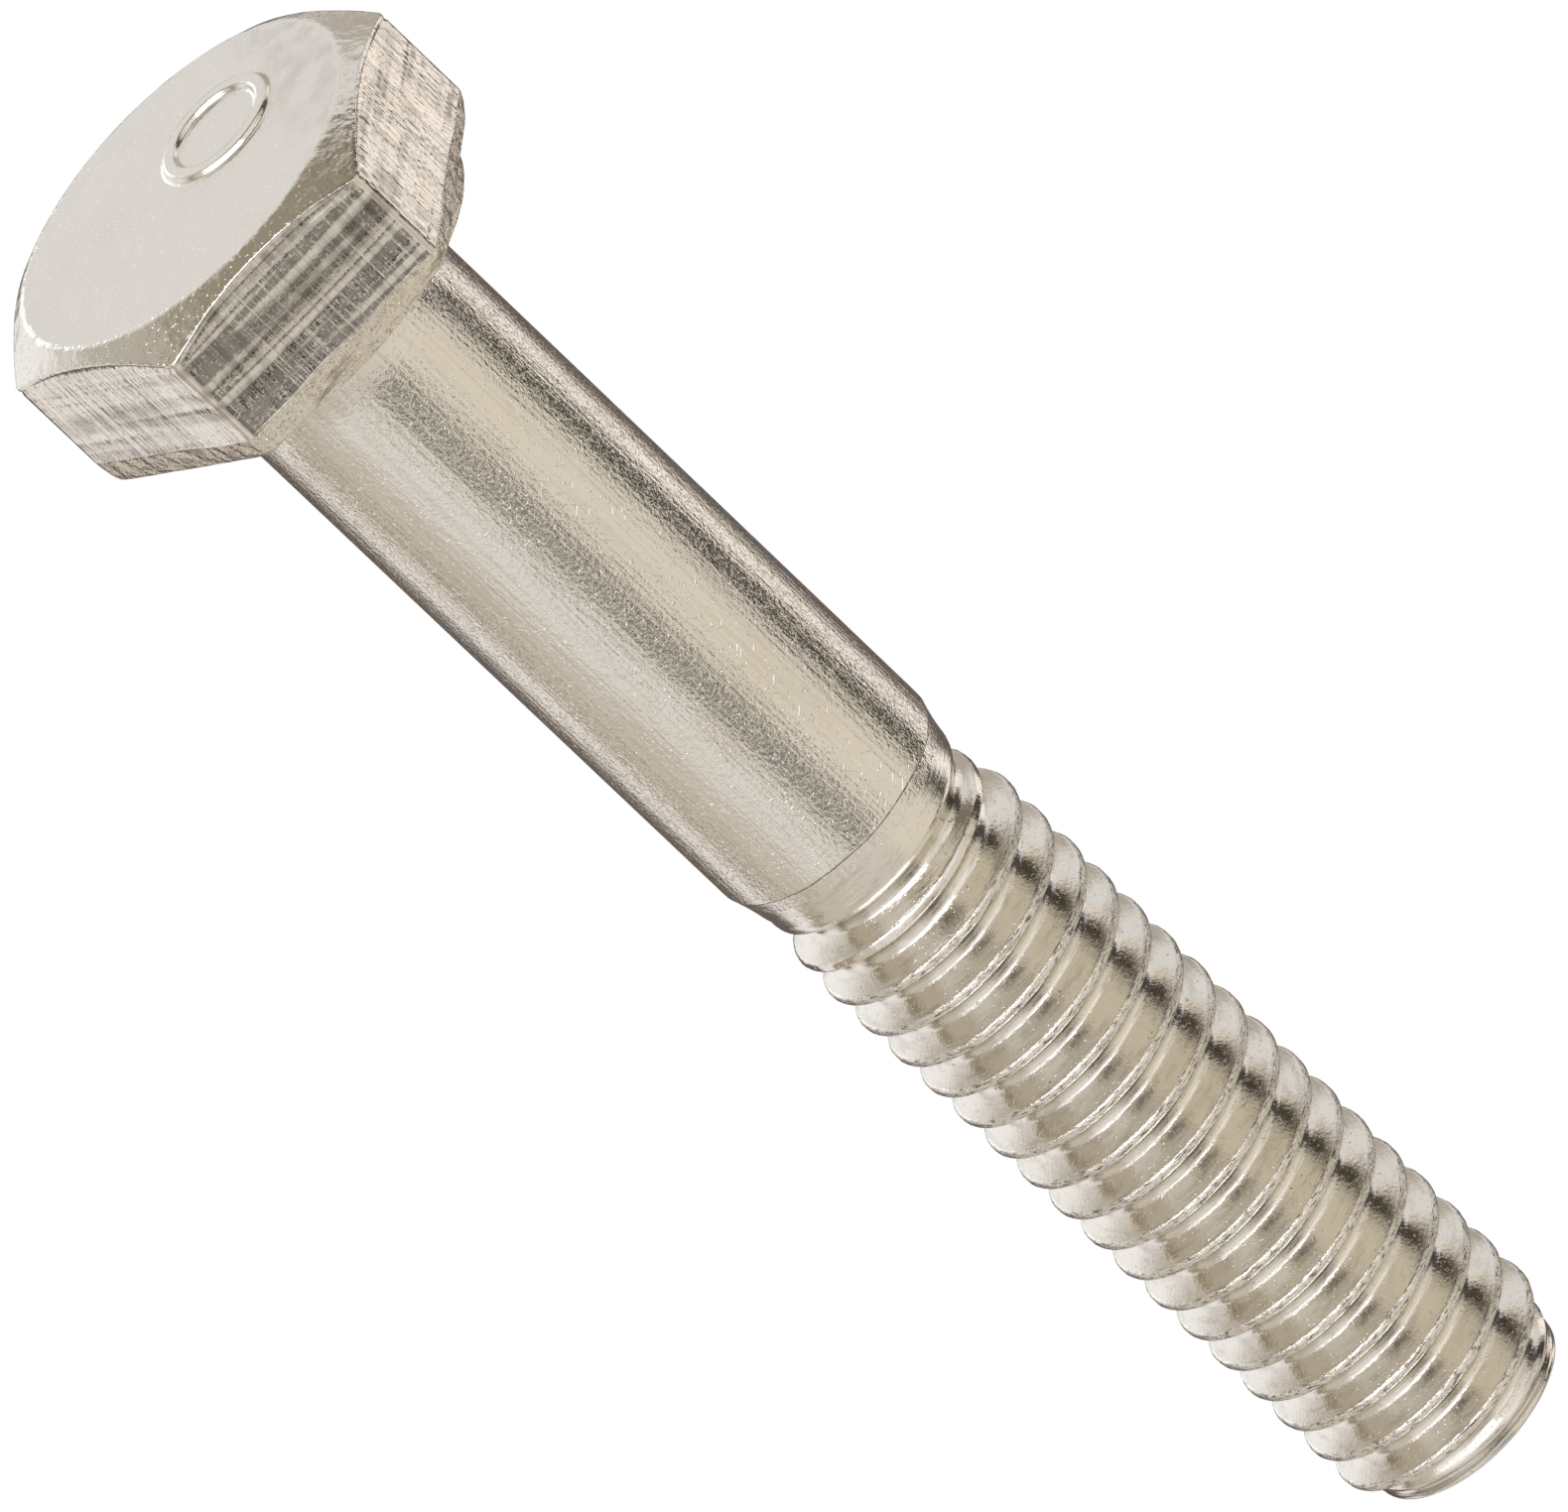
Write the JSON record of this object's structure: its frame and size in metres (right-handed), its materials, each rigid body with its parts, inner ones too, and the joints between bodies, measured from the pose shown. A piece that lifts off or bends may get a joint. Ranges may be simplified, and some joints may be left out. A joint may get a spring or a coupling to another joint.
{
  "type": "hex bolt",
  "caption": "Hexagon head cap screw with a chamfered crown, a washer face, a plain shank, a stepped neck and a coarse rolled right-hand thread.",
  "frame": {"origin": "centre of the flat crown on top of the head, on the bolt's axis", "axes": "+Z along the bolt's axis, out of the crown; +X through a corner of the hexagon, so that two flats face +Y and -Y"},
  "size_m": [0.0146, 0.0126, 0.0561],
  "materials": {
    "zinc_plate": "bright zinc plating on cold-formed steel, warm silver, slightly grained"
  },
  "bodies": {
    "root": {"hex_bolt": "zinc_plate"}
  },
  "joints": []
}
